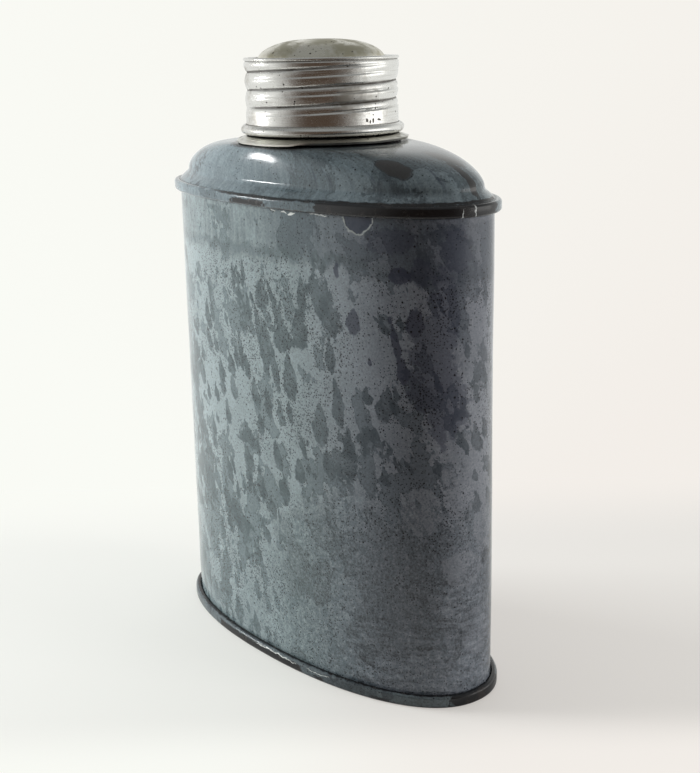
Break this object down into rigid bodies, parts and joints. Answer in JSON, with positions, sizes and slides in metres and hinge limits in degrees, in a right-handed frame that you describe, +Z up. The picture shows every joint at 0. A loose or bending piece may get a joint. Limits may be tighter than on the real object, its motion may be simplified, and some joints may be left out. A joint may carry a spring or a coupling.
{
  "type": "enamelware flask",
  "caption": "Oval pocket flask of mottled blue-grey enamelled steel, with a domed shoulder, seamed edges and a threaded metal screw cap.",
  "frame": {"origin": "on the floor under the neck, at the centre of the base", "axes": "+Z up along the neck, X across the wide side of the body, Y through its thickness"},
  "size_m": [0.0886, 0.0386, 0.1255],
  "materials": {
    "enamel": "glossy mottled blue-grey glass enamel on steel, worn to black at the seams",
    "bright_metal": "bright white metal, rubbed, with fine pits and grey tarnish",
    "dull_metal": "dull olive-grey tarnished metal with dark specks",
    "cement": "dark brown hardened cement",
    "cork": "cork with dark grains"
  },
  "bodies": {
    "flask": {"body_wall": "enamel", "shoulder": "enamel", "base_pan": "enamel", "neck_collar": "bright_metal", "collar_seal": "cement"},
    "lifting_liner": {"cork_liner": "cork"},
    "cap": {"cap_band": "bright_metal", "cap_crown": "dull_metal"}
  },
  "joints": [
    {"name": "cap_lift", "type": "slide", "parent": "flask", "child": "lifting_liner", "axis": [0, 0, 1], "range_m": [0, 0.01361]},
    {"name": "cap_turn", "type": "hinge", "parent": "lifting_liner", "child": "cap", "pos_m": [0, 0, 0.11], "axis": [0, 0, 1], "range_deg": [0, 1440]}
  ],
  "couplings": [
    {"joint": "cap_lift", "follows": "cap_turn", "m_per_rad": 0.00054113}
  ]
}
